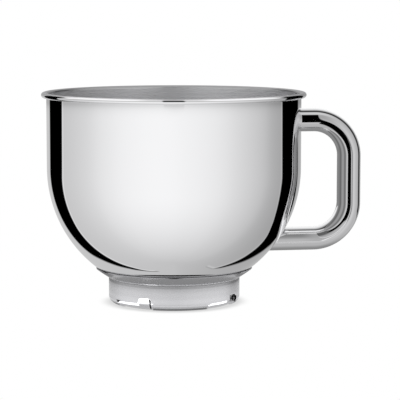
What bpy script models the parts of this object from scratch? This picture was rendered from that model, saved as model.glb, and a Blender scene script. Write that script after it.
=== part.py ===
"""Stand mixer bowl: a deep-drawn steel shell with a curled rim, a handle of bent oval tube
and a pressed base ring with bayonet recesses. Metres, +Z up, standing on z = 0."""

import bmesh
import bpy
from math import acos, asin, cos, degrees, pi, radians, sin, sqrt

# Bowl shell
bowl_radius = 0.111          # outside of the straight wall
bowl_height = 0.185          # bench to the top of the rim
bowl_sheet = 0.0009          # wall thickness
dome_radius = 0.110          # outside radius of the round lower half
floor_height = 0.014         # bench to the outside of the floor
floor_flat_radius = 0.028    # flat middle of the floor
floor_blend_radius = 0.040   # outside radius that runs from the floor into the dome
curl_radius = 0.0027         # outside radius of the rim's curled bead
curl_gap = 0.0005            # from the curled edge to the wall beside it

# Base ring
ring_radius = 0.0575         # outside of the ring's straight wall
ring_sheet = 0.0010
ring_round_radius = 0.0060   # outside radius of the rounded bottom edge
ring_lip = 0.0115            # outside of the wall to the lip's inner edge
flange_reach = 0.0107        # how far the flange spreads past the wall
flange_bend_radius = 0.0020  # outside radius of the bend between wall and flange

# Bayonet recesses pressed into the ring's lower edge
recess_count = 4
recess_depth = 0.0024
slot_height = 0.0063         # top of the low slot, where a lug locks
notch_height = 0.0122        # top of the entry notch, where a lug comes in
slot_angle = 24.5            # degrees of the ring that the slot takes
notch_angle = 13.5           # degrees that the notch takes, right after the slot
first_recess_angle = -66.5   # degrees from the front, counted towards the handle

# Handle, an oval tube
handle_thickness = 0.0204    # across the tube, seen from the side
handle_width = 0.028         # across the tube, front to back
handle_sheet = 0.0012
finger_gap = 0.0358          # bowl wall to the inside of the grip
handle_corner_radius = 0.0322    # middle line of the two corners
handle_span = 0.1055         # between the middle lines of the two arms
handle_drop = 0.0262         # top of the rim to the middle line of the upper arm
weld_toe = 0.0012            # how far the weld spreads round the tube's ends
weld_length = 0.0020         # how far it runs along the tube

# Fits
weld_gap = 0.0003            # between pieces that are welded face to face

# Fineness of the round forms
turn_steps = 64
dome_steps = 11
blend_steps = 3
curl_steps = 9
bend_steps = 4
round_steps = 4
flange_steps = 2
land_steps = 7
tube_sides = 20
corner_steps = 8
crease_angle = radians(35.0)

# Places that follow from the sizes
rim_radius = bowl_radius - bowl_sheet + 2.0 * curl_radius
grip_reach = bowl_radius + finger_gap + handle_thickness
axis_x = (rim_radius - grip_reach) / 2.0
dome_offset = bowl_radius - dome_radius
blend_rise = sqrt((dome_radius - floor_blend_radius) ** 2 - (floor_flat_radius - dome_offset) ** 2)
dome_centre_height = floor_height + floor_blend_radius + blend_rise


def arc(centre, radius, start, end, steps):
    """Points on an arc, with its angles in radians."""
    turn = (end - start) / steps
    angles = [start + turn * i for i in range(steps + 1)]
    return [(centre[0] + radius * cos(a), centre[1] + radius * sin(a)) for a in angles]


def clamp(value):
    return max(0.0, min(1.0, value))


def make_material(name, colour, roughness):
    material = bpy.data.materials.new(name)
    material.use_nodes = True
    shader = material.node_tree.nodes["Principled BSDF"]
    shader.inputs["Base Color"].default_value = (*colour, 1.0)
    shader.inputs["Metallic"].default_value = 1.0
    shader.inputs["Roughness"].default_value = roughness
    return material


def make_piece(name, bm, material):
    """Turn a bmesh into a smooth object that stands on the bowl's axis."""
    bmesh.ops.recalc_face_normals(bm, faces=bm.faces)
    mesh = bpy.data.meshes.new(name)
    bm.to_mesh(mesh)
    bm.free()
    mesh.materials.append(material)
    mesh.shade_smooth()
    mesh.set_sharp_from_angle(angle=crease_angle)
    piece = bpy.data.objects.new(name, mesh)
    bpy.context.scene.collection.objects.link(piece)
    piece.parent = bowl_axis
    return piece


def loft_closed(bm, loops):
    """Skin closed loops of equal length, and join the last loop to the first."""
    rows = [[bm.verts.new(point) for point in loop] for loop in loops]
    count = len(rows[0])
    for i, row in enumerate(rows):
        following = rows[(i + 1) % len(rows)]
        for j in range(count):
            k = (j + 1) % count
            bm.faces.new((row[j], row[k], following[k], following[j]))


def dome_angle_of_blend():
    """Angle below level, seen from the dome's centre, where the floor's blend ends."""
    return asin(blend_rise / (dome_radius - floor_blend_radius))


def shell_face(inset):
    """One face of the shell's sheet, from the axis out to the top of the straight wall."""
    blend_centre = (floor_flat_radius, floor_height + floor_blend_radius)
    meeting = -dome_angle_of_blend()
    points = [(0.0, floor_height + inset)]
    points += arc(blend_centre, floor_blend_radius - inset, -pi / 2.0, meeting, blend_steps)
    dome_centre = (dome_offset, dome_centre_height)
    points += arc(dome_centre, dome_radius - inset, meeting, 0.0, dome_steps)[1:]
    return points


def shell_profile():
    """The sheet's whole section: out along its outside, round the curl, back along its inside."""
    curl_centre = (bowl_radius - bowl_sheet + curl_radius, bowl_height - curl_radius)
    curl_end = -acos((curl_gap + bowl_sheet - curl_radius) / curl_radius)
    inner_curl = arc(curl_centre, curl_radius - bowl_sheet, pi, curl_end, curl_steps)
    outer_curl = arc(curl_centre, curl_radius, curl_end, pi, curl_steps)
    return shell_face(0.0) + inner_curl + outer_curl + shell_face(bowl_sheet)[::-1]


def build_shell(material):
    bm = bmesh.new()
    line = [bm.verts.new((r, 0.0, z)) for r, z in shell_profile()]
    edges = [bm.edges.new(pair) for pair in zip(line, line[1:])]
    bmesh.ops.spin(
        bm, geom=line + edges, cent=(0.0, 0.0, 0.0), axis=(0.0, 0.0, 1.0),
        angle=2.0 * pi, steps=turn_steps, use_merge=True,
    )
    bmesh.ops.remove_doubles(bm, verts=bm.verts, dist=0.000001)
    return make_piece("bowl_shell", bm, material)


def ring_middle_line():
    """Middle of the ring's sheet from the flange's edge to the lip, as (point, way out)."""
    dome_centre = (dome_offset, dome_centre_height)
    flange_radius = dome_radius + weld_gap + ring_sheet / 2.0
    wall_radius = ring_radius - ring_sheet / 2.0
    bend_radius = flange_bend_radius + ring_sheet / 2.0
    round_radius = ring_round_radius - ring_sheet / 2.0

    bend_x = wall_radius + bend_radius
    bend_angle = acos((bend_x - dome_offset) / (flange_radius + bend_radius))
    bend_z = dome_centre_height - (flange_radius + bend_radius) * sin(bend_angle)
    edge_angle = acos((ring_radius + flange_reach - dome_offset) / flange_radius)

    line = []
    for r, z in arc(dome_centre, flange_radius, -edge_angle, -bend_angle, flange_steps)[:-1]:
        line.append((r, z, (r - dome_centre[0]) / flange_radius, (z - dome_centre[1]) / flange_radius))
    for r, z in arc((bend_x, bend_z), bend_radius, pi - bend_angle, pi, bend_steps):
        line.append((r, z, (bend_x - r) / bend_radius, (bend_z - z) / bend_radius))
    for z in (notch_height, notch_height - recess_depth, slot_height):
        if ring_round_radius < z < bend_z:
            line.append((wall_radius, z, 1.0, 0.0))
    round_centre = (ring_radius - ring_round_radius, ring_round_radius)
    for r, z in arc(round_centre, round_radius, 0.0, -pi / 2.0, round_steps):
        line.append((r, z, (r - round_centre[0]) / round_radius, (z - round_centre[1]) / round_radius))
    line.append((ring_radius - ring_lip, ring_sheet / 2.0, 0.0, -1.0))
    return line


def press_depth(angle, radius, height):
    """How far the sheet is pressed in, at degrees past the start of a recess."""
    flank = degrees(recess_depth / ring_radius)
    slot_side = min(clamp(angle / flank), clamp((slot_angle + flank - angle) / flank))
    notch_side = min(clamp((angle - slot_angle) / flank), clamp((slot_angle + notch_angle - angle) / flank))
    slot = slot_side * clamp((slot_height - height) / recess_depth)
    notch = notch_side * clamp((notch_height - height) / recess_depth)
    lip_inner = ring_radius - ring_lip
    lip_hold = clamp((radius - lip_inner) / (ring_lip - ring_round_radius))
    return recess_depth * max(slot, notch) * lip_hold


def recess_stations():
    """Degrees past the start of a recess where the ring needs a section, up to the next one."""
    flank = degrees(recess_depth / ring_radius)
    recess_end = slot_angle + notch_angle
    slot = [0.0, flank, slot_angle / 3.0, slot_angle * 2.0 / 3.0, slot_angle, slot_angle + flank]
    notch = [slot_angle + (notch_angle + flank) / 2.0 - flank / 2.0, recess_end - flank]
    land = 360.0 / recess_count - recess_end
    plain = [recess_end + land * i / land_steps for i in range(land_steps)]
    return slot + notch + plain


def build_ring(material):
    middle = ring_middle_line()
    half = ring_sheet / 2.0
    loops = []
    for recess in range(recess_count):
        for station in recess_stations():
            turn = radians(first_recess_angle + recess * 360.0 / recess_count + station)
            sides = {1.0: [], -1.0: []}
            for r, z, out_r, out_z in middle:
                pressed = press_depth(station, r, z)
                for side, points in sides.items():
                    radius = r - pressed + side * half * out_r
                    points.append((radius * sin(turn), -radius * cos(turn), z + side * half * out_z))
            loops.append(sides[1.0] + sides[-1.0][::-1])
    bm = bmesh.new()
    loft_closed(bm, loops)
    return make_piece("base_ring", bm, material)


def bowl_outside(y, z):
    """X of the bowl's outside on the handle's side, with the fit for the weld."""
    radius = bowl_radius + weld_gap
    if z < dome_centre_height:
        radius = dome_offset + sqrt((dome_radius + weld_gap) ** 2 - (dome_centre_height - z) ** 2)
    return sqrt(radius ** 2 - y ** 2)


def tube_oval(thickness, width):
    """The tube's section as (across, front to back)."""
    turn = 2.0 * pi / tube_sides
    return [(thickness / 2.0 * cos(turn * i), width / 2.0 * sin(turn * i)) for i in range(tube_sides)]


def tube_face(thickness, width, toe):
    """Rings along one face of the tube, from the upper weld round the grip to the lower one."""
    upper_z = bowl_height - handle_drop
    lower_z = upper_z - handle_span
    corner_x = grip_reach - handle_thickness / 2.0 - handle_corner_radius
    section = tube_oval(thickness, width)
    toe_section = tube_oval(thickness + 2.0 * toe, width + 2.0 * toe)

    def arm_ring(oval, arm_z, side, run):
        heights = [(arm_z + side * across, y) for across, y in oval]
        return [(bowl_outside(y, z) + run, y, z) for z, y in heights]

    def corner_rings(corner_z, start, end):
        turn = (end - start) / corner_steps
        rings = []
        for i in range(corner_steps + 1):
            a = start + turn * i
            reach = [(handle_corner_radius + across, y) for across, y in section]
            rings.append([(corner_x + r * cos(a), y, corner_z + r * sin(a)) for r, y in reach])
        return rings

    rings = [arm_ring(toe_section, upper_z, 1.0, 0.0), arm_ring(section, upper_z, 1.0, weld_length)]
    rings += corner_rings(upper_z - handle_corner_radius, pi / 2.0, 0.0)
    rings += corner_rings(lower_z + handle_corner_radius, 0.0, -pi / 2.0)
    rings += [arm_ring(section, lower_z, -1.0, weld_length), arm_ring(toe_section, lower_z, -1.0, 0.0)]
    return rings


def build_handle(material):
    outside = tube_face(handle_thickness, handle_width, weld_toe)
    inside = tube_face(handle_thickness - 2.0 * handle_sheet, handle_width - 2.0 * handle_sheet, 0.0)
    bm = bmesh.new()
    loft_closed(bm, outside + inside[::-1])
    return make_piece("handle", bm, material)


for leftover in list(bpy.data.objects):
    bpy.data.objects.remove(leftover, do_unlink=True)

bowl_axis = bpy.data.objects.new("bowl_axis", None)
bowl_axis.location.x = axis_x
bpy.context.scene.collection.objects.link(bowl_axis)

polished = make_material("polished_steel", (0.83, 0.83, 0.84), 0.06)
polished_tube = make_material("polished_tube", (0.83, 0.83, 0.84), 0.08)
satin = make_material("satin_steel", (0.72, 0.72, 0.74), 0.30)

build_shell(polished)
build_handle(polished_tube)
build_ring(satin)
bpy.context.view_layer.update()
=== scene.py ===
import bmesh
import bpy
from math import acos, asin, cos, degrees, pi, radians, sin, sqrt
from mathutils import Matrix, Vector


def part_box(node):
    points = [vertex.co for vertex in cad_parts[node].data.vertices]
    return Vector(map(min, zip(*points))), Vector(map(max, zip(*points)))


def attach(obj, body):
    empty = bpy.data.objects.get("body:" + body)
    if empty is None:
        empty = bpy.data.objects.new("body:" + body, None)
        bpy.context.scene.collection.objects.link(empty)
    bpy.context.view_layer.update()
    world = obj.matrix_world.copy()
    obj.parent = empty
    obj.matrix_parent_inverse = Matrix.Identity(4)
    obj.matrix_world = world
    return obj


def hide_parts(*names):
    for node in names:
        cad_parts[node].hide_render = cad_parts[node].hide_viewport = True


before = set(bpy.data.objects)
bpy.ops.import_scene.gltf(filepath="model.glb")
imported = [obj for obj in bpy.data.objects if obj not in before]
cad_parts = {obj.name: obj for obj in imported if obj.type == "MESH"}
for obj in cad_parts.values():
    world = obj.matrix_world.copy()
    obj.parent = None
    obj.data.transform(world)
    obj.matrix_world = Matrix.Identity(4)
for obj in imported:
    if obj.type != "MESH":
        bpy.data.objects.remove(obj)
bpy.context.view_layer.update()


# Bowl shell
# The shell is one deep-drawn stainless sheet: a straight wall over a round dome, with the edge
# curled outward into a hollow bead. It is buffed to a mirror outside and left satin inside,
# where the spinning tool's fine rings stay visible.

shell_low, shell_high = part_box("bowl_shell")
axis_x = (shell_low.x + shell_high.x) / 2.0
bowl_height = shell_high.z
bowl_radius = 0.111
bowl_sheet = 0.0009
dome_radius = 0.110
floor_height = shell_low.z
floor_flat_radius = 0.028
floor_blend_radius = 0.040
curl_radius = 0.0027
curl_gap = 0.0005
curl_flatness = 0.88
curl_drop = 0.0004

dome_offset = bowl_radius - dome_radius
blend_rise = sqrt((dome_radius - floor_blend_radius) ** 2 - (floor_flat_radius - dome_offset) ** 2)
dome_centre_height = floor_height + floor_blend_radius + blend_rise

shell_turn_steps = 288
floor_steps = 3
blend_steps = 10
dome_steps = 66
wall_steps = 14
wall_end = 0.0004
curl_steps = 44
satin_starts_at = radians(38.0)
sharp_angle = radians(50.0)


def arc(centre, radius, start, end, steps):
    """Points on an arc of a section, with its angles in radians."""
    turn = (end - start) / steps
    angles = [start + turn * i for i in range(steps + 1)]
    return [(centre[0] + radius * cos(a), centre[1] + radius * sin(a)) for a in angles]


def run(start, end, steps):
    """Points on a straight run of a section, its first end left out."""
    shares = [i / steps for i in range(1, steps + 1)]
    return [(start[0] + (end[0] - start[0]) * t, start[1] + (end[1] - start[1]) * t) for t in shares]


def shell_face(inset, wall_top):
    """One face of the sheet, from the axis across the floor and up the dome and the wall."""
    blend_centre = (floor_flat_radius, floor_height + floor_blend_radius)
    dome_centre = (dome_offset, dome_centre_height)
    meeting = -asin(blend_rise / (dome_radius - floor_blend_radius))
    floor_start = (0.0, floor_height + inset)
    floor_end = (floor_flat_radius, floor_height + inset)
    points = [floor_start] + run(floor_start, floor_end, floor_steps)
    points += arc(blend_centre, floor_blend_radius - inset, -pi / 2.0, meeting, blend_steps)[1:]
    points += arc(dome_centre, dome_radius - inset, meeting, 0.0, dome_steps)[1:]
    points += run(points[-1], (bowl_radius - inset, wall_top - wall_end), wall_steps)
    return points + [(bowl_radius - inset, wall_top)]


def flattened_curl(points):
    """Points of the curl, pressed a little flatter than round by the curling roll."""
    middle = curl_centre[1]
    return [(r, middle + (z - middle) * curl_flatness) for r, z in points]


def turn_section(name, points, finishes, steps):
    """Turn an open section that starts and ends on the axis; finishes numbers each stretch."""
    bm = bmesh.new()
    columns = []
    for i in range(steps):
        a = 2.0 * pi * i / steps
        ring = [(axis_x + r * cos(a), r * sin(a), z) for r, z in points[1:-1]]
        columns.append([bm.verts.new(place) for place in ring])
    first = bm.verts.new((axis_x, 0.0, points[0][1]))
    last = bm.verts.new((axis_x, 0.0, points[-1][1]))
    for i in range(steps):
        here, there = columns[i], columns[(i + 1) % steps]
        bm.faces.new((first, there[0], here[0])).material_index = finishes[0]
        for j in range(len(here) - 1):
            face = bm.faces.new((here[j], there[j], there[j + 1], here[j + 1]))
            face.material_index = finishes[j + 1]
        bm.faces.new((last, here[-1], there[-1])).material_index = finishes[-1]
    return finish_mesh(name, bm)


def finish_mesh(name, bm):
    """A smooth object at the origin from a bmesh, with hard edges only where sheet ends."""
    bmesh.ops.recalc_face_normals(bm, faces=bm.faces)
    mesh = bpy.data.meshes.new(name)
    bm.to_mesh(mesh)
    bm.free()
    mesh.shade_smooth()
    mesh.set_sharp_from_angle(angle=sharp_angle)
    piece = bpy.data.objects.new(name, mesh)
    bpy.context.scene.collection.objects.link(piece)
    return piece


def node(tree, kind, inputs=None, **settings):
    """Add a node, give it its settings, and set or link its inputs by name or number."""
    made = tree.nodes.new(kind)
    for key, value in settings.items():
        setattr(made, key, value)
    for key, value in (inputs or {}).items():
        if isinstance(value, bpy.types.NodeSocket):
            tree.links.new(value, made.inputs[key])
        else:
            made.inputs[key].default_value = value
    return made


def calc(tree, operation, *values):
    """The result of one Math node."""
    return node(tree, "ShaderNodeMath", dict(enumerate(values)), operation=operation).outputs[0]


def product(tree, first, *others):
    """All the values multiplied together."""
    for other in others:
        first = calc(tree, "MULTIPLY", first, other)
    return first


def distance(tree, first, second):
    """The length of a line from its two parts at right angles."""
    squares = [product(tree, part, part) for part in (first, second)]
    return calc(tree, "SQRT", calc(tree, "ADD", *squares))


def parts_of(tree, vector):
    """The three numbers of a vector."""
    return node(tree, "ShaderNodeSeparateXYZ", {0: vector}).outputs


def ease(tree, value, start, end, low=0.0, high=1.0):
    """A smooth step from low to high while value goes from start to end."""
    inputs = {"Value": value, "From Min": start, "From Max": end, "To Min": low, "To Max": high}
    return node(tree, "ShaderNodeMapRange", inputs, interpolation_type="SMOOTHSTEP").outputs["Result"]


def steel(name, colour, roughness):
    """A bare steel material, returned with its tree and its shader."""
    material = bpy.data.materials.new(name)
    material.use_nodes = True
    shader = material.node_tree.nodes["Principled BSDF"]
    shader.inputs["Base Color"].default_value = (*colour, 1.0)
    shader.inputs["Metallic"].default_value = 1.0
    shader.inputs["Roughness"].default_value = roughness
    return material, material.node_tree, shader


def centred(tree):
    """Object coordinates counted from the bowl's axis."""
    place = node(tree, "ShaderNodeTexCoord").outputs["Object"]
    return node(tree, "ShaderNodeMapping", {"Vector": place, "Location": (-axis_x, 0.0, 0.0)}).outputs[0]


haze_scale = 45.0
swell_scale = 22.0
swell_depth = 0.000008


def polish(name, colour, roughness):
    """Mirror-buffed stainless: nearly smooth, with the faint swell and haze of a buffing wheel."""
    material, tree, shader = steel(name, colour, roughness)
    place = centred(tree)
    haze_inputs = {"Vector": place, "Scale": haze_scale, "Detail": 3.0}
    haze = node(tree, "ShaderNodeTexNoise", haze_inputs).outputs[0]
    patchy = ease(tree, haze, 0.35, 0.75, roughness * 0.7, roughness * 1.4)
    tree.links.new(patchy, shader.inputs["Roughness"])
    swell_inputs = {"Vector": place, "Scale": swell_scale, "Detail": 1.0}
    swell = node(tree, "ShaderNodeTexNoise", swell_inputs).outputs[0]
    bump = node(tree, "ShaderNodeBump", {"Strength": 0.25, "Distance": swell_depth, "Height": swell})
    tree.links.new(bump.outputs[0], shader.inputs["Normal"])
    return material


def satin(name, colour, roughness, ring_pitch, depth):
    """Spun or brushed stainless: very fine rings round the bowl's axis, rougher and smoother."""
    material, tree, shader = steel(name, colour, roughness)
    shader.inputs["Anisotropic"].default_value = 0.45
    across, deep, height = parts_of(tree, centred(tree))
    radius = distance(tree, across, deep)
    along = product(tree, calc(tree, "ADD", radius, height), 1.0 / ring_pitch)
    off_axis = calc(tree, "MAXIMUM", radius, 0.001)
    round_x = calc(tree, "DIVIDE", across, off_axis)
    round_y = calc(tree, "DIVIDE", deep, off_axis)
    rings = node(tree, "ShaderNodeCombineXYZ", {0: round_x, 1: round_y, 2: along}).outputs[0]
    grain_inputs = {"Vector": rings, "Scale": 1.0, "Detail": 4.0, "Roughness": 0.7}
    grain = node(tree, "ShaderNodeTexNoise", grain_inputs).outputs[0]
    ringed = ease(tree, grain, 0.3, 0.7, roughness * 0.8, roughness * 1.25)
    tree.links.new(ringed, shader.inputs["Roughness"])
    bump = node(tree, "ShaderNodeBump", {"Strength": 0.5, "Distance": depth, "Height": grain})
    tree.links.new(bump.outputs[0], shader.inputs["Normal"])
    lie = node(tree, "ShaderNodeTangent", direction_type="RADIAL", axis="Z")
    tree.links.new(lie.outputs[0], shader.inputs["Tangent"])
    return material


polished_outside = polish("polished_outside", (0.83, 0.83, 0.84), roughness=0.02)
satin_inside = satin(
    "satin_inside", (0.78, 0.78, 0.79), roughness=0.30, ring_pitch=0.00035, depth=0.00002,
)

curl_height = bowl_height - curl_drop - curl_radius * curl_flatness
curl_centre = (bowl_radius - bowl_sheet + curl_radius, curl_height)
curl_end = -acos((curl_gap + bowl_sheet - curl_radius) / curl_radius)
outside = shell_face(0.0, curl_centre[1])
inside = shell_face(bowl_sheet, curl_centre[1])[::-1]
curl_back = flattened_curl(arc(curl_centre, curl_radius - bowl_sheet, pi, curl_end, curl_steps)[1:])
curl_front = flattened_curl(arc(curl_centre, curl_radius, curl_end, pi, curl_steps)[:-1])
shell_points = outside + curl_back + curl_front + inside
buffed_curl_steps = int((satin_starts_at - curl_end) / (pi - curl_end) * curl_steps)
buffed_stretches = len(outside) + len(curl_back) + buffed_curl_steps
shell_finishes = [0] * buffed_stretches + [1] * (len(shell_points) - 1 - buffed_stretches)

bowl_shell = turn_section("bowl_shell_fine", shell_points, shell_finishes, shell_turn_steps)
bowl_shell.data.materials.append(polished_outside)
bowl_shell.data.materials.append(satin_inside)
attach(bowl_shell, "root")
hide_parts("bowl_shell")


# Base ring
# The ring is pressed from a flat stainless blank: a flange flared to lie on the dome, where it is
# spot welded, a straight wall, and a rounded edge turned in to a flat lip. A second tool presses
# the stepped bayonet recesses into its lower edge. It is brushed, not buffed.

ring_radius = 0.0575
ring_sheet = 0.0010
ring_round_radius = 0.0060
ring_lip = 0.0115
flange_reach = 0.0107
flange_bend_radius = 0.0020
weld_gap = 0.0003
recess_count = 4
recess_depth = 0.0024
slot_height = 0.0065
slot_flank = 0.0030
slot_fall = 0.0009
notch_height = 0.0112
notch_flank = 0.0045
slot_angle = 24.5
notch_angle = 13.5
first_recess_angle = -66.5
flank_angle = degrees(recess_depth / ring_radius)

flange_steps = 5
bend_steps = 8
ring_wall_steps = 44
round_steps = 22
lip_steps = 4
flank_steps = 7
plain_step = 2.0


def ring_face(side):
    """One face of the ring's sheet, from flange to lip; side is 1 outside and -1 inside."""
    half = side * ring_sheet / 2.0
    dome_centre = (dome_offset, dome_centre_height)
    flange_radius = dome_radius + weld_gap + ring_sheet / 2.0
    wall_radius = ring_radius - ring_sheet / 2.0
    bend_radius = flange_bend_radius + ring_sheet / 2.0
    bend_x = wall_radius + bend_radius
    bend_angle = acos((bend_x - dome_offset) / (flange_radius + bend_radius))
    bend_z = dome_centre_height - (flange_radius + bend_radius) * sin(bend_angle)
    edge_angle = acos((ring_radius + flange_reach - dome_offset) / flange_radius)
    round_centre = (ring_radius - ring_round_radius, ring_round_radius)
    round_radius = ring_round_radius - ring_sheet / 2.0 + half

    points = arc(dome_centre, flange_radius + half, -edge_angle, -bend_angle, flange_steps)
    points += arc((bend_x, bend_z), bend_radius - half, pi - bend_angle, pi, bend_steps)[1:]
    points += run(points[-1], (wall_radius + half, ring_round_radius), ring_wall_steps)
    points += arc(round_centre, round_radius, 0.0, -pi / 2.0, round_steps)[1:]
    return points + run(points[-1], (ring_radius - ring_lip, ring_sheet / 2.0 - half), lip_steps)


def ring_angles():
    """Angles round the ring, in degrees, close together where a recess has a flank."""
    flanks = [0.0, slot_angle, slot_angle + notch_angle - flank_angle]
    period = 360.0 / recess_count
    angles = []
    at = 0.0
    while at < period - 0.001:
        angles.append(at)
        close = any(start - 0.01 <= at < start + flank_angle - 0.01 for start in flanks)
        next_start = min([start for start in flanks + [period] if start > at + 0.01])
        step = flank_angle / flank_steps if close else min(plain_step, next_start - at)
        at += step
    return [first_recess_angle + period * i + a for i in range(recess_count) for a in angles]


def round_place(radius, turn, height):
    """A point round the bowl's axis, its turn in radians and counted from the front."""
    return axis_x + radius * sin(turn), -radius * cos(turn), height


def plain_ring():
    """The ring before its recesses are pressed in."""
    section = ring_face(1.0) + ring_face(-1.0)[::-1]
    bm = bmesh.new()
    columns = []
    for angle in ring_angles():
        a = radians(angle)
        columns.append([bm.verts.new(round_place(r, a, z)) for r, z in section])
    count = len(section)
    for i, here in enumerate(columns):
        there = columns[(i + 1) % len(columns)]
        for j in range(count):
            k = (j + 1) % count
            bm.faces.new((here[j], there[j], there[k], here[k]))
    return finish_mesh("base_ring_fine", bm)


def minus(tree, first, second):
    """The first value less the second."""
    return calc(tree, "SUBTRACT", first, second)


def angle_from(tree, rise, along):
    """The angle of a line from its two parts at right angles, in degrees."""
    return calc(tree, "DEGREES", calc(tree, "ARCTAN2", rise, along))


def node_tree(name, sizes):
    """A geometry tree with a geometry and a material input, and one named number for each size."""
    tree = bpy.data.node_groups.new(name, "GeometryNodeTree")
    face = tree.interface
    face.new_socket("Geometry", in_out="INPUT", socket_type="NodeSocketGeometry")
    face.new_socket("Geometry", in_out="OUTPUT", socket_type="NodeSocketGeometry")
    face.new_socket("Material", in_out="INPUT", socket_type="NodeSocketMaterial")
    for size in sizes:
        face.new_socket(size, in_out="INPUT", socket_type="NodeSocketFloat")
    return tree, tree.nodes.new("NodeGroupInput").outputs


def end_tree(tree, geometry, material):
    """Close a geometry tree: no instances left, and one material."""
    real = node(tree, "GeometryNodeRealizeInstances", {0: geometry}).outputs[0]
    painted = node(tree, "GeometryNodeSetMaterial", {"Geometry": real, "Material": material}).outputs[0]
    node(tree, "NodeGroupOutput", {0: painted})


def run_tree(piece, tree, values):
    """Run a geometry tree on a piece and keep the result as its plain mesh."""
    modifier = piece.modifiers.new(tree.name, "NODES")
    modifier.node_group = tree
    for item in tree.interface.items_tree:
        if item.in_out == "INPUT" and item.name in values:
            modifier[item.identifier] = values[item.name]
    graph = bpy.context.evaluated_depsgraph_get()
    mesh = bpy.data.meshes.new_from_object(piece.evaluated_get(graph))
    name = piece.name
    bpy.data.objects.remove(piece, do_unlink=True)
    mesh.name = name
    mesh.shade_smooth()
    mesh.set_sharp_from_angle(angle=sharp_angle)
    made = bpy.data.objects.new(name, mesh)
    bpy.context.scene.collection.objects.link(made)
    return made


def recess_tree():
    """Presses equal recesses inward round a ring: a low sloping slot, then a taller entry notch."""
    sizes = [
        "Axis X", "Count", "First Angle", "Slot Angle", "Notch Angle", "Flank Angle",
        "Slot Height", "Slot Flank", "Slot Fall", "Notch Height", "Notch Flank",
        "Depth", "Lip Inner Radius", "Lip Width",
    ]
    tree, given = node_tree("press_recesses", sizes)
    position = node(tree, "GeometryNodeInputPosition").outputs[0]
    x, y, z = parts_of(tree, position)
    x = minus(tree, x, given["Axis X"])
    radius = distance(tree, x, y)
    turn = angle_from(tree, x, product(tree, y, -1.0))
    period = calc(tree, "DIVIDE", 360.0, given["Count"])
    at = calc(tree, "FLOORED_MODULO", minus(tree, turn, given["First Angle"]), period)

    def side(start, end):
        rise = ease(tree, at, start, calc(tree, "ADD", start, given["Flank Angle"]))
        fall = ease(tree, at, end, minus(tree, end, given["Flank Angle"]))
        return product(tree, rise, fall)

    def below(top, flank):
        """How far the sheet is pressed in, down a straight flank with rounded ends."""
        foot = minus(tree, top, flank)
        straight = calc(tree, "DIVIDE", minus(tree, top, z), flank)
        straight = node(tree, "ShaderNodeClamp", {0: straight}).outputs[0]
        rounded = ease(tree, z, top, foot)
        return product(tree, calc(tree, "ADD", straight, rounded), 0.5)

    notch_end = calc(tree, "ADD", given["Slot Angle"], given["Notch Angle"])
    slot_end = calc(tree, "ADD", given["Slot Angle"], product(tree, given["Flank Angle"], 2.0))
    far = minus(tree, 1.0, calc(tree, "DIVIDE", at, given["Slot Angle"]))
    slot_top = minus(tree, given["Slot Height"], product(tree, given["Slot Fall"], far))
    slot = product(tree, side(0.0, slot_end), below(slot_top, given["Slot Flank"]))
    notch_down = below(given["Notch Height"], given["Notch Flank"])
    notch = product(tree, side(given["Slot Angle"], notch_end), notch_down)
    from_lip = minus(tree, radius, given["Lip Inner Radius"])
    lip_share = calc(tree, "DIVIDE", from_lip, given["Lip Width"])
    lip_hold = node(tree, "ShaderNodeClamp", {0: lip_share}).outputs[0]
    pressed = product(tree, calc(tree, "MAXIMUM", slot, notch), given["Depth"], lip_hold, -1.0)
    share = calc(tree, "DIVIDE", pressed, radius)
    move_x = product(tree, x, share)
    move_y = product(tree, y, share)
    move = node(tree, "ShaderNodeCombineXYZ", {0: move_x, 1: move_y, 2: 0.0}).outputs[0]
    moves = {"Geometry": given["Geometry"], "Offset": move}
    moved = node(tree, "GeometryNodeSetPosition", moves).outputs[0]
    end_tree(tree, moved, given["Material"])
    return tree


satin_ring = satin(
    "satin_ring", (0.72, 0.72, 0.74), roughness=0.24, ring_pitch=0.00080, depth=0.000002,
)
base_ring = run_tree(plain_ring(), recess_tree(), {
    "Material": satin_ring,
    "Axis X": axis_x,
    "Count": float(recess_count),
    "First Angle": first_recess_angle,
    "Slot Angle": slot_angle,
    "Notch Angle": notch_angle,
    "Flank Angle": flank_angle,
    "Slot Height": slot_height,
    "Slot Flank": slot_flank,
    "Slot Fall": slot_fall,
    "Notch Height": notch_height,
    "Notch Flank": notch_flank,
    "Depth": recess_depth,
    "Lip Inner Radius": ring_radius - ring_lip,
    "Lip Width": ring_lip - ring_round_radius,
})
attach(base_ring, "root")
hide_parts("base_ring")


# Handle
# The handle is one length of oval stainless tube, bent to a D in a tube bender and buffed to a
# mirror. Its ends are cut to the bowl's curve, welded all round and dressed to a small fillet.

handle_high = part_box("handle")[1]
handle_thickness = 0.0204
handle_width = 0.028
handle_corner_radius = 0.0322
handle_drop = 0.0262
handle_span = 0.1055
weld_fillet = 0.0012
weld_sink = 0.0002

grip_x = handle_high.x - handle_thickness / 2.0
corner_x = grip_x - handle_corner_radius
upper_arm_z = bowl_height - handle_drop
lower_arm_z = upper_arm_z - handle_span
path_start_x = axis_x + bowl_radius / 2.0
ring_spacing = 0.0010
tube_sides = 72
bend_points = 96


def handle_path():
    """The bent tube's middle line before its corners are rounded, as an open curve."""
    points = [
        (path_start_x, upper_arm_z),
        (grip_x, upper_arm_z),
        (grip_x, lower_arm_z),
        (path_start_x, lower_arm_z),
    ]
    curve = bpy.data.curves.new("handle_fine", "CURVE")
    curve.dimensions = "3D"
    spline = curve.splines.new("POLY")
    spline.points.add(len(points) - 1)
    for point, (x, z) in zip(spline.points, points):
        point.co = (x, 0.0, z, 1.0)
    piece = bpy.data.objects.new("handle_fine", curve)
    bpy.context.scene.collection.objects.link(piece)
    return piece


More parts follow.
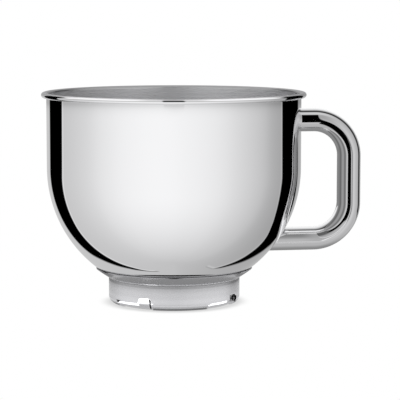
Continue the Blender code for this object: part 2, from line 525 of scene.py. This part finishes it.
def tube_tree():
    """Sweeps an oval along a path with rounded corners and fits both ends to a round bowl."""
    sizes = [
        "Axis X", "Start X", "Corner X", "Upper Z", "Lower Z", "Corner Radius", "Thickness", "Width",
        "Ring Spacing", "Dome Radius", "Dome Offset", "Dome Height", "Fillet", "Sink",
    ]
    tree, given = node_tree("bend_tube", sizes)
    bent = node(tree, "GeometryNodeFilletCurve", {
        "Curve": given["Geometry"], "Count": bend_points, "Radius": given["Corner Radius"],
    }, mode="POLY").outputs[0]
    even = node(tree, "GeometryNodeResampleCurve", {
        "Curve": bent, "Length": given["Ring Spacing"],
    }, mode="LENGTH").outputs[0]
    level = node(tree, "GeometryNodeSetCurveNormal", {
        "Curve": even, "Normal": (0.0, 1.0, 0.0),
    }, mode="FREE").outputs[0]
    circle = {"Resolution": tube_sides, "Radius": 0.5}
    oval = node(tree, "GeometryNodeCurvePrimitiveCircle", circle).outputs[0]
    stretch = node(tree, "ShaderNodeCombineXYZ", {0: given["Width"], 1: given["Thickness"], 2: 1.0})
    stretched = {"Geometry": oval, "Scale": stretch.outputs[0]}
    section = node(tree, "GeometryNodeTransform", stretched).outputs[0]
    tube = node(tree, "GeometryNodeCurveToMesh", {
        "Curve": level, "Profile Curve": section, "Fill Caps": True,
    }).outputs[0]

    position = node(tree, "GeometryNodeInputPosition").outputs[0]
    x, y, z = parts_of(tree, position)
    length = minus(tree, given["Corner X"], given["Start X"])
    share = calc(tree, "DIVIDE", minus(tree, x, given["Start X"]), length)
    middle = product(tree, calc(tree, "ADD", given["Upper Z"], given["Lower Z"]), 0.5)
    is_upper = calc(tree, "GREATER_THAN", z, middle)
    rise = minus(tree, given["Upper Z"], given["Lower Z"])
    arm_z = calc(tree, "ADD", given["Lower Z"], product(tree, rise, is_upper))
    off_z = minus(tree, z, arm_z)

    def wall_x(side_y, at_z):
        """Where a line along X meets the bowl, at a place across and up."""
        drop = calc(tree, "MAXIMUM", minus(tree, given["Dome Height"], at_z), 0.0)
        ball = product(tree, given["Dome Radius"], given["Dome Radius"])
        reach = calc(tree, "SQRT", minus(tree, ball, product(tree, drop, drop)))
        radius = calc(tree, "ADD", reach, given["Dome Offset"])
        square = product(tree, radius, radius)
        out = calc(tree, "SQRT", minus(tree, square, product(tree, side_y, side_y)))
        return calc(tree, "ADD", minus(tree, out, given["Sink"]), given["Axis X"])

    def arm_x(wall):
        gap = minus(tree, given["Corner X"], wall)
        return product(tree, gap, share)

    near = calc(tree, "DIVIDE", arm_x(wall_x(y, z)), given["Fillet"])
    close = calc(tree, "MAXIMUM", minus(tree, 1.0, near), 0.0)
    bow = calc(tree, "SQRT", minus(tree, 1.0, product(tree, close, close)))
    spread = product(tree, minus(tree, 1.0, bow), given["Fillet"])
    out = distance(tree, y, off_z)
    grow = calc(tree, "ADD", 1.0, calc(tree, "DIVIDE", spread, calc(tree, "MAXIMUM", out, 0.001)))
    new_y = product(tree, y, grow)
    new_z = calc(tree, "ADD", arm_z, product(tree, off_z, grow))
    wall = wall_x(new_y, new_z)
    new_x = calc(tree, "ADD", wall, arm_x(wall))
    place = node(tree, "ShaderNodeCombineXYZ", {0: new_x, 1: new_y, 2: new_z}).outputs[0]
    on_arm = node(tree, "FunctionNodeCompare", {0: share, 1: 1.0}, operation="LESS_THAN").outputs[0]
    moves = {"Geometry": tube, "Selection": on_arm, "Position": place}
    fitted = node(tree, "GeometryNodeSetPosition", moves).outputs[0]
    end_tree(tree, fitted, given["Material"])
    return tree


polished_tube = polish("polished_tube", (0.80, 0.80, 0.81), roughness=0.03)
handle = run_tree(handle_path(), tube_tree(), {
    "Material": polished_tube,
    "Axis X": axis_x,
    "Start X": path_start_x,
    "Corner X": corner_x,
    "Upper Z": upper_arm_z,
    "Lower Z": lower_arm_z,
    "Corner Radius": handle_corner_radius,
    "Thickness": handle_thickness,
    "Width": handle_width,
    "Ring Spacing": ring_spacing,
    "Dome Radius": dome_radius,
    "Dome Offset": dome_offset,
    "Dome Height": dome_centre_height,
    "Fillet": weld_fillet,
    "Sink": weld_sink,
})
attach(handle, "root")
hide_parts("handle")


# Studio
# Each piece is lit by a large dome of its own, with the broad front light, the paler walls and the
# dark flags that its steel mirrors. Small cards stand close to the rim, the handle and the base ring
# and in the bowl. Only reflections see them, and they are the same for every view.

dome_distance = 12.0
dome_centre = (axis_x, 0.0, 0.10)
edge_softness = 0.012
pale_edge = 0.022
view_turn = radians(8.5)


def follow(tree, value, stops):
    """A smooth line through pairs of a value and its level."""
    first, last = stops[0][0], stops[-1][0]
    lowest = min(0.0, min(level for _, level in stops))
    highest = max(level for _, level in stops) - lowest
    curve = tree.nodes.new("ShaderNodeFloatCurve")
    points = curve.mapping.curves[0].points
    while len(points) < len(stops):
        points.new(0.5, 0.5)
    for point, (place, level) in zip(points, stops):
        point.location = ((place - first) / (last - first), (level - lowest) / highest)
    curve.mapping.update()
    span = {"Value": value, "From Min": first, "From Max": last}
    place = node(tree, "ShaderNodeMapRange", span).outputs["Result"]
    tree.links.new(place, curve.inputs["Value"])
    return calc(tree, "MULTIPLY_ADD", curve.outputs[0], highest, lowest)


def mix(tree, share, first, second):
    """A number that goes from first to second with share."""
    inputs = {"Factor": share, "A": first, "B": second}
    return node(tree, "ShaderNodeMix", inputs, data_type="FLOAT").outputs[0]


def within(tree, value, low, high, softness):
    """One between low and high, and zero outside them."""
    starts = ease(tree, minus(tree, value, low), -softness, softness)
    ends = ease(tree, minus(tree, value, high), softness, -softness)
    return product(tree, starts, ends)


def turned_to_view(tree, vector):
    """A vector's three parts, with the side that the picture is taken from as the front."""
    inputs = {"Vector": vector, "Angle": view_turn}
    turned = node(tree, "ShaderNodeVectorRotate", inputs, rotation_type="Z_AXIS").outputs[0]
    return parts_of(tree, turned)


def bearings(tree):
    """A point of a dome as seen from the bowl: direction, azimuth, elevation and angle overhead."""
    place = node(tree, "ShaderNodeTexCoord").outputs["Object"]
    centre = tuple(-c for c in dome_centre)
    place = node(tree, "ShaderNodeMapping", {"Vector": place, "Location": centre}).outputs[0]
    unit = node(tree, "ShaderNodeVectorMath", {0: place}, operation="NORMALIZE").outputs[0]
    x, y, z = turned_to_view(tree, unit)
    front = product(tree, y, -1.0)
    azimuth = angle_from(tree, x, front)
    elevation = calc(tree, "DEGREES", calc(tree, "ARCSINE", z))
    over = angle_from(tree, z, front)
    return x, y, z, azimuth, elevation, over


def flattened(tree, x, y, z):
    """The direction drawn on a flat map whose middle is straight behind the bowl."""
    depth = calc(tree, "MAXIMUM", calc(tree, "ADD", y, 1.0), 0.05)
    return calc(tree, "DIVIDE", x, depth), calc(tree, "DIVIDE", z, depth)


def light_dome(name, radius, pieces, paint):
    """A dome round the bowl that gives light only to some pieces; paint makes its level."""
    bm = bmesh.new()
    bmesh.ops.create_icosphere(bm, subdivisions=4, radius=radius)
    bmesh.ops.translate(bm, verts=bm.verts, vec=dome_centre)
    dome = finish_mesh(name, bm)
    shine_on(dome, pieces, paint)


def shine_on(lamp, pieces, paint, one_sided=False):
    """Make a mesh glow on some pieces only, in reflections. It lets all other light through, but a
    one-sided card does so only from behind."""
    glow = bpy.data.materials.new(lamp.name + "_glow")
    glow.use_nodes = True
    glow.cycles.emission_sampling = "NONE"
    tree = glow.node_tree
    tree.nodes.clear()
    light = node(tree, "ShaderNodeEmission", {"Strength": paint(tree)}).outputs[0]
    clear = node(tree, "ShaderNodeBsdfTransparent").outputs[0]
    both = node(tree, "ShaderNodeAddShader", {0: light, 1: clear}).outputs[0]
    if one_sided:
        behind = node(tree, "ShaderNodeNewGeometry").outputs["Backfacing"]
        both = node(tree, "ShaderNodeMixShader", {0: behind, 1: light, 2: clear}).outputs[0]
    node(tree, "ShaderNodeOutputMaterial", {0: both})
    lamp.data.materials.append(glow)
    lamp.visible_camera = False
    lamp.visible_diffuse = False
    lamp.visible_shadow = False
    lit = bpy.data.collections.new(lamp.name + "_lights")
    for piece in pieces:
        lit.objects.link(piece)
    lamp.light_linking.receiver_collection = lit


def light_card(name, rows, pieces, paint, one_sided=False):
    """A small card close to the object, a sheet over rows of points, that glows on some pieces."""
    bm = bmesh.new()
    grid = [[bm.verts.new(point) for point in row] for row in rows]
    for here, there in zip(grid, grid[1:]):
        for j in range(len(here) - 1):
            bm.faces.new((here[j], here[j + 1], there[j + 1], there[j]))
    mesh = bpy.data.meshes.new(name)
    bm.to_mesh(mesh)
    bm.free()
    card = bpy.data.objects.new(name, mesh)
    bpy.context.scene.collection.objects.link(card)
    shine_on(card, pieces, paint, one_sided)


def paint_for_shell(tree):
    """Broad light in front, a dim ceiling, and black flags with pale edges beside the backdrop."""
    x, y, z, azimuth, elevation, over = bearings(tree)
    across, up = flattened(tree, x, y, z)
    wall = follow(tree, azimuth, [
        (-180.0, 0.62), (-120.0, 0.68), (-90.0, 0.78), (-62.0, 0.96), (-36.0, 1.07), (-10.0, 1.10),
        (12.0, 1.06), (36.0, 0.98), (60.0, 0.82), (84.0, 0.66), (108.0, 0.47), (130.0, 0.42),
        (180.0, 0.62),
    ])
    floor_starts, floor_fade, floor_level = 20.0, 1.6, 0.64
    down = minus(tree, product(tree, elevation, -1.0), floor_starts)
    down = calc(tree, "DIVIDE", down, 90.0 - floor_starts)
    floor_share = calc(tree, "POWER", calc(tree, "MAXIMUM", down, 0.0), floor_fade)
    level = mix(tree, floor_share, wall, floor_level)
    under_rim = follow(tree, elevation, [
        (-3.60, 1.0), (-3.31, 0.96), (-3.22, 0.92), (-3.14, 0.84), (-3.05, 0.72),
    ])
    level = product(tree, level, under_rim)
    ceiling_rise, ceiling_back, ceiling_level = (2.0, 9.0), (125.0, 110.0), 0.46
    ceiling = product(tree, ease(tree, elevation, *ceiling_rise), ease(tree, over, *ceiling_back))
    level = mix(tree, ceiling, level, ceiling_level)
    stand_sides, stand_ends = (-0.155, 0.155), (-2.9, 50.0)
    stand_width = within(tree, x, *stand_sides, edge_softness)
    camera_stand = product(tree, stand_width, within(tree, over, *stand_ends, 0.4))

    left = product(tree, across, -1.0)
    left_outer = follow(tree, up, [
        (-0.76, 0.110), (-0.70, 0.183), (-0.656, 0.237), (-0.615, 0.27), (-0.51, 0.337),
        (-0.40, 0.394), (-0.335, 0.43), (-0.265, 0.479), (-0.118, 0.549), (0.0, 0.585),
        (0.35, 0.585),
    ])
    left_inner = follow(tree, up, [
        (-0.76, 0.110), (-0.70, 0.181), (-0.64, 0.226), (-0.545, 0.268), (-0.422, 0.285),
        (-0.30, 0.267), (-0.20, 0.262), (0.0, 0.283), (0.35, 0.283),
    ])
    right_outer = follow(tree, up, [
        (-0.655, 0.234), (-0.568, 0.29), (-0.442, 0.339), (-0.352, 0.38), (-0.314, 0.473),
        (-0.261, 0.565), (-0.18, 0.627), (-0.085, 0.654), (0.0, 0.67), (0.35, 0.67),
    ])
    right_inner = follow(tree, up, [
        (-0.655, 0.234), (-0.60, 0.251), (-0.486, 0.274), (-0.36, 0.262), (-0.24, 0.221),
        (-0.18, 0.195), (-0.05, 0.268), (0.35, 0.268),
    ])
    flag_ends = (-0.76, 0.34)
    height = within(tree, up, *flag_ends, edge_softness)
    wider_outside, wider_inside = 0.012, 0.006
    left_outer = calc(tree, "ADD", left_outer, wider_outside)
    left_inner = minus(tree, left_inner, wider_inside)
    left_flag = within(tree, left, left_inner, left_outer, edge_softness)
    right_flag = within(tree, across, right_inner, right_outer, edge_softness)
    left_end = calc(tree, "ADD", left_outer, pale_edge)
    right_end = calc(tree, "ADD", right_outer, pale_edge)
    left_edge = within(tree, left, left_outer, left_end, edge_softness)
    right_edge = within(tree, across, right_outer, right_end, edge_softness)
    left_light, right_light = 0.25, 0.12
    edges = calc(tree, "MULTIPLY_ADD", right_edge, right_light, product(tree, left_edge, left_light))
    level = calc(tree, "ADD", level, product(tree, edges, height))
    flags = product(tree, calc(tree, "MAXIMUM", left_flag, right_flag), height)
    return mix(tree, calc(tree, "MAXIMUM", flags, camera_stand), level, 0.0)


def paint_for_handle(tree):
    """Grey walls, a softbox overhead, the camera and its stand in front, a dark arch behind."""
    x, y, z, azimuth, _, over = bearings(tree)
    across, up = flattened(tree, x, y, z)
    upright = follow(tree, over, [
        (-180.0, 0.28), (-155.0, 0.28), (-117.0, 0.32), (-102.0, 0.42), (-88.0, 0.51),
        (-74.0, 0.57), (-60.0, 0.56), (-44.0, 0.64), (-20.0, 0.66), (55.0, 0.45), (74.0, 0.50),
        (87.0, 0.76), (104.0, 0.72), (138.0, 0.78), (156.0, 1.05), (180.0, 0.95),
    ])
    level_round = follow(tree, azimuth, [
        (-180.0, 0.50), (-90.0, 0.60), (-42.0, 0.74), (0.0, 0.80), (34.0, 0.90), (48.0, 0.82),
        (58.0, 0.68), (83.0, 0.60), (98.0, 0.56), (113.0, 0.58), (180.0, 0.50),
    ])
    along = calc(tree, "MULTIPLY_ADD", x, cos(view_turn), product(tree, y, sin(view_turn)))
    beside = ease(tree, calc(tree, "ABSOLUTE", along), 0.35, 0.80)
    level = mix(tree, beside, upright, level_round)

    near = calc(tree, "MAXIMUM", minus(tree, 1.0, y), 0.05)
    front_x = calc(tree, "DIVIDE", x, near)
    front_z = calc(tree, "DIVIDE", z, near)
    in_front = calc(tree, "LESS_THAN", y, 0.0)
    body_middle, body_half = (-0.06, -0.08), (0.36, 0.44)
    body_x = calc(tree, "DIVIDE", minus(tree, front_x, body_middle[0]), body_half[0])
    body_z = calc(tree, "DIVIDE", minus(tree, front_z, body_middle[1]), body_half[1])
    from_body = distance(tree, body_x, body_z)
    body = product(tree, ease(tree, from_body, 1.07, 0.93), ease(tree, front_z, -0.05, -0.08))
    head_left = follow(tree, front_z, [
        (-0.12, -0.34), (0.0, -0.38), (0.10, -0.39), (0.25, -0.33), (0.40, -0.25), (0.60, -0.13),
    ])
    head_right = follow(tree, front_z, [
        (-0.12, 0.05), (0.0, 0.04), (0.07, -0.02), (0.18, -0.09), (0.29, -0.065), (0.40, -0.03),
        (0.60, -0.02),
    ])
    head_ends, arm_edge = (-0.12, 0.52), (0.205, 0.185)
    head_width = within(tree, front_x, head_left, head_right, 0.015)
    head = product(tree, head_width, within(tree, front_z, *head_ends, 0.03))
    off_arms = product(tree, in_front, ease(tree, along, *arm_edge))
    lens = product(tree, calc(tree, "MAXIMUM", body, head), off_arms)
    stand_sides, stand_ends = (0.175, 0.27), (-27.0, 74.0)
    stand_width = within(tree, along, *stand_sides, edge_softness)
    stand = product(tree, stand_width, within(tree, over, *stand_ends, 1.0))
    dim_sides, dim_ends, dim_share = (-0.52, 0.40), (0.36, 0.85), 0.70
    dim_width = within(tree, front_x, *dim_sides, 0.10)
    dim = product(tree, dim_width, within(tree, front_z, *dim_ends, 0.12), off_arms, dim_share)
    level = mix(tree, dim, level, 0.0)

    def oval(half_width, half_height):
        """How far out a place is, as a share of the way to an oval round the middle."""
        side = calc(tree, "DIVIDE", across, half_width)
        return distance(tree, side, calc(tree, "DIVIDE", up, half_height))

    arch_foot, arch_share = (-0.22, -0.18), 0.93
    arch_inside = ease(tree, oval(0.47, 0.60), 0.62, 1.04)
    arch_outside = ease(tree, oval(0.73, 0.76), 1.05, 0.95)
    arch = product(tree, arch_inside, arch_outside, ease(tree, up, *arch_foot), arch_share)
    dark = calc(tree, "MAXIMUM", calc(tree, "MAXIMUM", lens, stand), arch)
    return mix(tree, dark, level, 0.0)


def paint_for_ring(tree):
    """Even grey walls with a faint camera in them, over a darker floor."""
    azimuth, elevation = bearings(tree)[3:5]
    wall = follow(tree, azimuth, [
        (-180.0, 0.25), (-146.0, 0.26), (-127.0, 0.30), (-113.0, 0.41), (-81.0, 0.50),
        (-40.0, 0.46), (0.0, 0.43), (60.0, 0.50), (86.0, 0.50), (107.0, 0.40), (136.0, 0.20),
        (160.0, 0.32), (180.0, 0.25),
    ])
    camera_sides, camera_share = (-4.0, 12.0), 0.08
    faint_camera = product(tree, within(tree, azimuth, *camera_sides, 8.0), camera_share)
    wall = mix(tree, faint_camera, wall, 0.0)
    floor_edge, floor_level = (-14.0, -30.0), 0.26
    return mix(tree, ease(tree, elevation, *floor_edge), wall, floor_level)


light_dome("shell_light", dome_distance, [bowl_shell], paint_for_shell)
light_dome("handle_light", dome_distance + 0.5, [handle], paint_for_handle)
light_dome("ring_light", dome_distance + 1.0, [base_ring], paint_for_ring)

bead_radius = curl_centre[0]
bead_height = curl_centre[1]
rim_card_reach = 0.045
rim_card_turns = range(-100, 101, 4)
rim_card_arc = (radians(15.0), radians(150.0), 18)
arm_card_reach = 0.018
arm_card_start = 0.050
arm_card_steps = 8
arm_card_arc = (radians(-20.0), radians(88.0), 27)
arm_card_stand = (-10.2, 41.0)
arm_card_middle = -1.6
grip_card_gap = 0.006
grip_card_drop = 0.030
grip_card_steps = 8
grip_card_turns = range(-38, 61, 2)
shadow_radius = 0.0566
shadow_inner_radius = 0.040
shadow_height = 0.0002
shadow_level = 0.22
foot_radius = 0.066
foot_height = 0.0004
foot_level = 0.33
ring_card_reach = 0.0019
ring_card_foot = 0.001
ring_card_top = 0.0212
ring_card_steps = 12
bend_card_foot = 0.012
flange_card_gap = 0.0003
flange_level = 0.31
inner_card_height = 0.140
inner_card_radius = 0.103


def rim_card_rows():
    """Rows from the front of the near rim up over it, an arc about the middle of the bead."""
    rows = []
    for turn in rim_card_turns:
        a = radians(turn) - view_turn
        arch = arc((bead_radius, bead_height), rim_card_reach, *rim_card_arc)
        rows.append([round_place(r, a, z) for r, z in arch])
    return rows


def paint_for_rim(tree):
    """A long white strip over the near rim, open where the camera's stand is."""
    x, y, z = turned_to_view(tree, centred(tree))
    out = minus(tree, distance(tree, x, y), bead_radius)
    turn = angle_from(tree, x, product(tree, y, -1.0))
    rise = angle_from(tree, minus(tree, z, bead_height), out)
    strip = follow(tree, rise, [
        (15.0, 0.0), (27.0, 0.40), (45.0, 0.62), (71.0, 0.75), (95.0, 0.60), (119.0, 0.38),
        (150.0, 0.10),
    ])
    strip_ends, stand_gap = (-74.0, 72.0), (-6.0, 5.4)
    middle_ends, middle_share = (-18.0, 18.0), 0.45
    ends = within(tree, turn, *strip_ends, 6.0)
    gap = minus(tree, 1.0, within(tree, turn, *stand_gap, 0.8))
    dimmer = product(tree, within(tree, turn, *middle_ends, 6.0), middle_share)
    return product(tree, strip, minus(tree, 1.0, dimmer), ends, gap)


def arm_card_rows():
    """Rows along a close sleeve over the front of the lower arm and of the lower bend."""
    centres = []
    for i in range(arm_card_steps + 1):
        along = arm_card_start + (corner_x - arm_card_start) * i / arm_card_steps
        centres.append((along, lower_arm_z, 0.0))
    for degree in range(4, 91, 4):
        a = radians(degree)
        bend_x = corner_x + handle_corner_radius * sin(a)
        bend_z = lower_arm_z + handle_corner_radius * (1.0 - cos(a))
        centres.append((bend_x, bend_z, a))
    rows = []
    for x, z, a in centres:
        arch = arc((0.0, 0.0), arm_card_reach, *arm_card_arc)
        rows.append([(x - up * sin(a), -front, z + up * cos(a)) for front, up in arch])
    return rows


def paint_for_arm(tree):
    """Grey over the arm that narrows to a line in the bend, with a brighter line above the arm."""
    place = node(tree, "ShaderNodeTexCoord").outputs["Object"]
    x, y, z = parts_of(tree, place)
    beyond = calc(tree, "MAXIMUM", minus(tree, x, corner_x), 0.0)
    below = minus(tree, lower_arm_z + handle_corner_radius, z)
    up = minus(tree, handle_corner_radius, distance(tree, beyond, below))
    rise = angle_from(tree, up, product(tree, y, -1.0))
    share = calc(tree, "DIVIDE", minus(tree, beyond, 0.001), handle_corner_radius)
    narrowing, narrowest = 2.3, 1.5
    half = calc(tree, "DIVIDE", narrowing, calc(tree, "MAXIMUM", share, 0.02))
    half = calc(tree, "ADD", half, narrowest)
    low = calc(tree, "MULTIPLY_ADD", half, -0.75, arm_card_middle)
    low = calc(tree, "MAXIMUM", low, arm_card_stand[0])
    high = calc(tree, "MULTIPLY_ADD", half, 0.6, arm_card_middle)
    high = calc(tree, "MINIMUM", high, arm_card_stand[1])
    grey = follow(tree, rise, [
        (-10.8, 0.57), (-2.8, 0.59), (3.3, 0.565), (9.0, 0.476), (15.0, 0.38), (21.5, 0.31),
        (28.2, 0.284), (41.0, 0.25),
    ])
    bend_starts, bend_ends, bend_share, bend_level = corner_x - 0.014, corner_x + 0.002, 0.7, 0.50
    grey = mix(tree, ease(tree, x, bend_starts, bend_ends, 0.0, bend_share), grey, bend_level)
    grey = product(tree, grey, within(tree, rise, low, high, 0.6), ease(tree, share, 0.93, 0.80))
    line = follow(tree, rise, [
        (50.0, 0.0), (54.0, 0.10), (58.0, 0.35), (64.0, 0.80), (69.0, 0.70), (75.0, 0.28),
        (82.0, 0.0),
    ])
    return calc(tree, "ADD", grey, product(tree, line, ease(tree, share, 0.25, 0.05)))


def grip_card_rows():
    """Rows up a card that stands just off the bowl's wall, between the two arms."""
    rows = []
    bottom = lower_arm_z - grip_card_drop
    reach = bowl_radius + grip_card_gap
    for i in range(grip_card_steps + 1):
        z = bottom + (upper_arm_z - bottom) * i / grip_card_steps
        around = [radians(turn) for turn in grip_card_turns]
        rows.append([(axis_x + reach * cos(a), reach * sin(a), z) for a in around])
    return rows


def paint_for_grip(tree):
    """Upright grey bands, which the inside of the grip mirrors in place of the bowl."""
    x, y = parts_of(tree, centred(tree))[:2]
    turn = angle_from(tree, y, x)
    return follow(tree, turn, [
        (-38.0, 0.72), (-28.0, 0.72), (-18.7, 0.64), (-12.5, 0.27), (-8.2, 0.21), (-4.4, 0.37),
        (-0.9, 0.38), (2.6, 0.28), (6.3, 0.17), (14.0, 0.235), (30.0, 0.30),
    ])


def flat_rows(inner, outer, height, start=-180.0, end=180.0):
    """Rows across a flat sector round the bowl's axis, angles counted from the camera's side."""
    rows = []
    steps = max(4, int((end - start) / 4.0))
    for i in range(steps + 1):
        a = radians(start + (end - start) * i / steps) - view_turn
        rows.append([round_place(r, a, height) for r in (inner, outer)])
    return rows


def steady(level):
    """Paint for a card of one even level."""
    def paint(tree):
        value = node(tree, "ShaderNodeValue").outputs[0]
        value.default_value = level
        return value
    return paint


def paint_for_inside(tree):
    """Light in the bowl that is dimmer along its middle than at its sides."""
    across = parts_of(tree, centred(tree))[0]
    return follow(tree, across, [
        (-0.100, 0.30), (-0.060, 0.74), (-0.030, 0.22), (0.0, 0.0), (0.030, 0.0), (0.060, 0.42),
        (0.100, 0.28),
    ])


def wall_rows(reach, low, high):
    """Rows up a round card close to the ring's wall."""
    rows = []
    for i in range(ring_card_steps + 1):
        z = low + (high - low) * i / ring_card_steps
        around = [radians(turn) for turn in range(0, 361, 5)]
        rows.append([(axis_x + reach * cos(a), reach * sin(a), z) for a in around])
    return rows


def patch_rows(reach, low, high, start, end):
    """Rows up a small card that faces the ring's wall, angles counted from the camera's side."""
    turns = [radians(end + (start - end) * i / 4.0) - view_turn for i in range(5)]
    return [[round_place(reach, a, z) for a in turns] for z in (low, high)]


def spoke_rows(angle, inner, outer, low, high):
    """Rows up a small card that stands along a radius and faces rising angles."""
    a = radians(angle) - view_turn
    return [[round_place(r, a, z) for r in (outer, inner)] for z in (low, high)]


def paint_for_ring_card(tree):
    """Light that is brightest low on the ring's wall and gone at its flange."""
    place = node(tree, "ShaderNodeTexCoord").outputs["Object"]
    height = parts_of(tree, place)[2]
    return follow(tree, height, [
        (0.001, 0.10), (0.002, 0.20), (0.004, 0.33), (0.006, 0.40), (0.008, 0.43), (0.011, 0.36),
        (0.0145, 0.33), (0.017, 0.24), (0.0188, 0.17), (0.0198, 0.0), (0.0212, 0.0),
    ])


light_card("rim_card", rim_card_rows(), [bowl_shell], paint_for_rim)
light_card("arm_card", arm_card_rows(), [handle], paint_for_arm)
light_card("grip_card", grip_card_rows(), [handle], paint_for_grip, one_sided=True)
inside_rows = flat_rows(0.001, inner_card_radius, inner_card_height)
light_card("inside_card", inside_rows, [bowl_shell], paint_for_inside)
ring_rows = wall_rows(ring_radius + ring_card_reach, ring_card_foot, ring_card_top)
light_card("ring_card", ring_rows, [base_ring], paint_for_ring_card)
bend_rows = wall_rows(ring_radius + flange_card_gap, bend_card_foot, ring_card_top)
light_card("bend_card", bend_rows, [base_ring], steady(flange_level), one_sided=True)
flange_card_radius = ring_radius + ring_card_reach + flange_card_gap
flange_rows = wall_rows(flange_card_radius, ring_card_foot, ring_card_top)
light_card("flange_card", flange_rows, [base_ring], steady(flange_level), one_sided=True)
shadow_rows = flat_rows(shadow_inner_radius, shadow_radius, shadow_height)
light_card("shadow_card", shadow_rows, [base_ring], steady(shadow_level), one_sided=True)
foot_rows = flat_rows(shadow_radius, foot_radius, foot_height)
light_card("foot_card", foot_rows, [base_ring], steady(foot_level))

# Cards at the two recesses in view: inner and outer radius, height, start and end angle, level.
recess_cards = [
    ("left_slot_card", 0.0546, 0.0585, 0.0033, -60.0, -33.5, 1.40),
    ("left_notch_card", 0.0563, 0.0620, 0.0055, -33.5, -19.5, 1.40),
    ("left_face_card", 0.0500, 0.0566, 0.0004, -60.0, -19.5, 0.40),
    ("right_slot_card", 0.0546, 0.0585, 0.0033, 31.0, 56.5, 1.40),
    ("right_face_card", 0.0500, 0.0566, 0.0004, 31.0, 70.5, 0.40),
]
for name, inner, outer, height, start, end, level in recess_cards:
    light_card(name, flat_rows(inner, outer, height, start, end), [base_ring], steady(level))

# Black cards by their ends paint shade into the ring's reflections. A spoke: angle, inner and outer
# radius, low and high edge. A patch: radius, low and high edge, start and end angle.
shade_cards = [
    ("left_notch_end_shade", spoke_rows(-22.7, 0.0500, 0.0576, 0.0002, 0.0104)),
    ("left_slot_end_shade", patch_rows(0.0580, 0.0003, 0.0060, -61.0, -55.5)),
    ("right_notch_end_shade", patch_rows(0.0580, 0.0003, 0.0080, 66.5, 71.0)),
]
for name, rows in shade_cards:
    light_card(name, rows, [base_ring], steady(0.0), one_sided=True)

world = bpy.data.worlds.new("studio")
world.use_nodes = True
bpy.context.scene.world = world
sky = world.node_tree
sky.nodes.clear()
white = (1.0, 1.0, 1.0, 1.0)
mirrored = node(sky, "ShaderNodeLightPath").outputs["Is Glossy Ray"]
open_white = minus(sky, 1.0, mirrored)
backdrop = node(sky, "ShaderNodeBackground", {"Color": white, "Strength": open_white}).outputs[0]
node(sky, "ShaderNodeOutputWorld", {0: backdrop})

floor_half = 3.0
shadow_reach = 0.012
shadow_depth = 0.30
shadow_full = 0.35
bm = bmesh.new()
corners = [(-1.0, -1.0), (1.0, -1.0), (1.0, 1.0), (-1.0, 1.0)]
bm.faces.new([bm.verts.new((x * floor_half, y * floor_half, 0.0)) for x, y in corners])
floor = finish_mesh("studio_floor", bm)
floor.visible_glossy = False
pale = bpy.data.materials.new("pale_floor")
pale.use_nodes = True
ground = pale.node_tree
ground.nodes.clear()
reach = {"Distance": shadow_reach}
open_sky = node(ground, "ShaderNodeAmbientOcclusion", reach, samples=16).outputs["AO"]
shade = ease(ground, open_sky, shadow_full, 1.0, 1.0 - shadow_depth, 1.0)
lit = node(ground, "ShaderNodeEmission", {"Strength": shade}).outputs[0]
clear = node(ground, "ShaderNodeBsdfTransparent").outputs[0]
under = node(ground, "ShaderNodeNewGeometry").outputs["Backfacing"]
surface = node(ground, "ShaderNodeMixShader", {0: under, 1: lit, 2: clear}).outputs[0]
node(ground, "ShaderNodeOutputMaterial", {0: surface})
floor.data.materials.append(pale)


# Camera
# It stands at about the distance of a product shot with a long lens, a little beside the front on
# the side away from the handle, looks slightly down, and turns a little to take in the handle.

camera_distance = 1.600
camera_height = 0.2703
camera_pitch = 0.1125
camera_turn = 0.0142
focal_pixels = 1835.0
picture_width = 400.0
sensor_width = 36.0

lens = bpy.data.cameras.new("studio_camera")
lens.sensor_width = sensor_width
lens.lens = focal_pixels / picture_width * sensor_width
lens.clip_start = 0.05
camera = bpy.data.objects.new("studio_camera", lens)
across = camera_distance * sin(view_turn)
back = camera_distance * cos(view_turn)
camera.location = (axis_x - across, -back, camera_height)
camera.rotation_euler = (pi / 2.0 - camera_pitch, 0.0, -view_turn - camera_turn)
bpy.context.scene.collection.objects.link(camera)
bpy.context.scene.camera = camera
bpy.context.scene.view_settings.view_transform = "Standard"
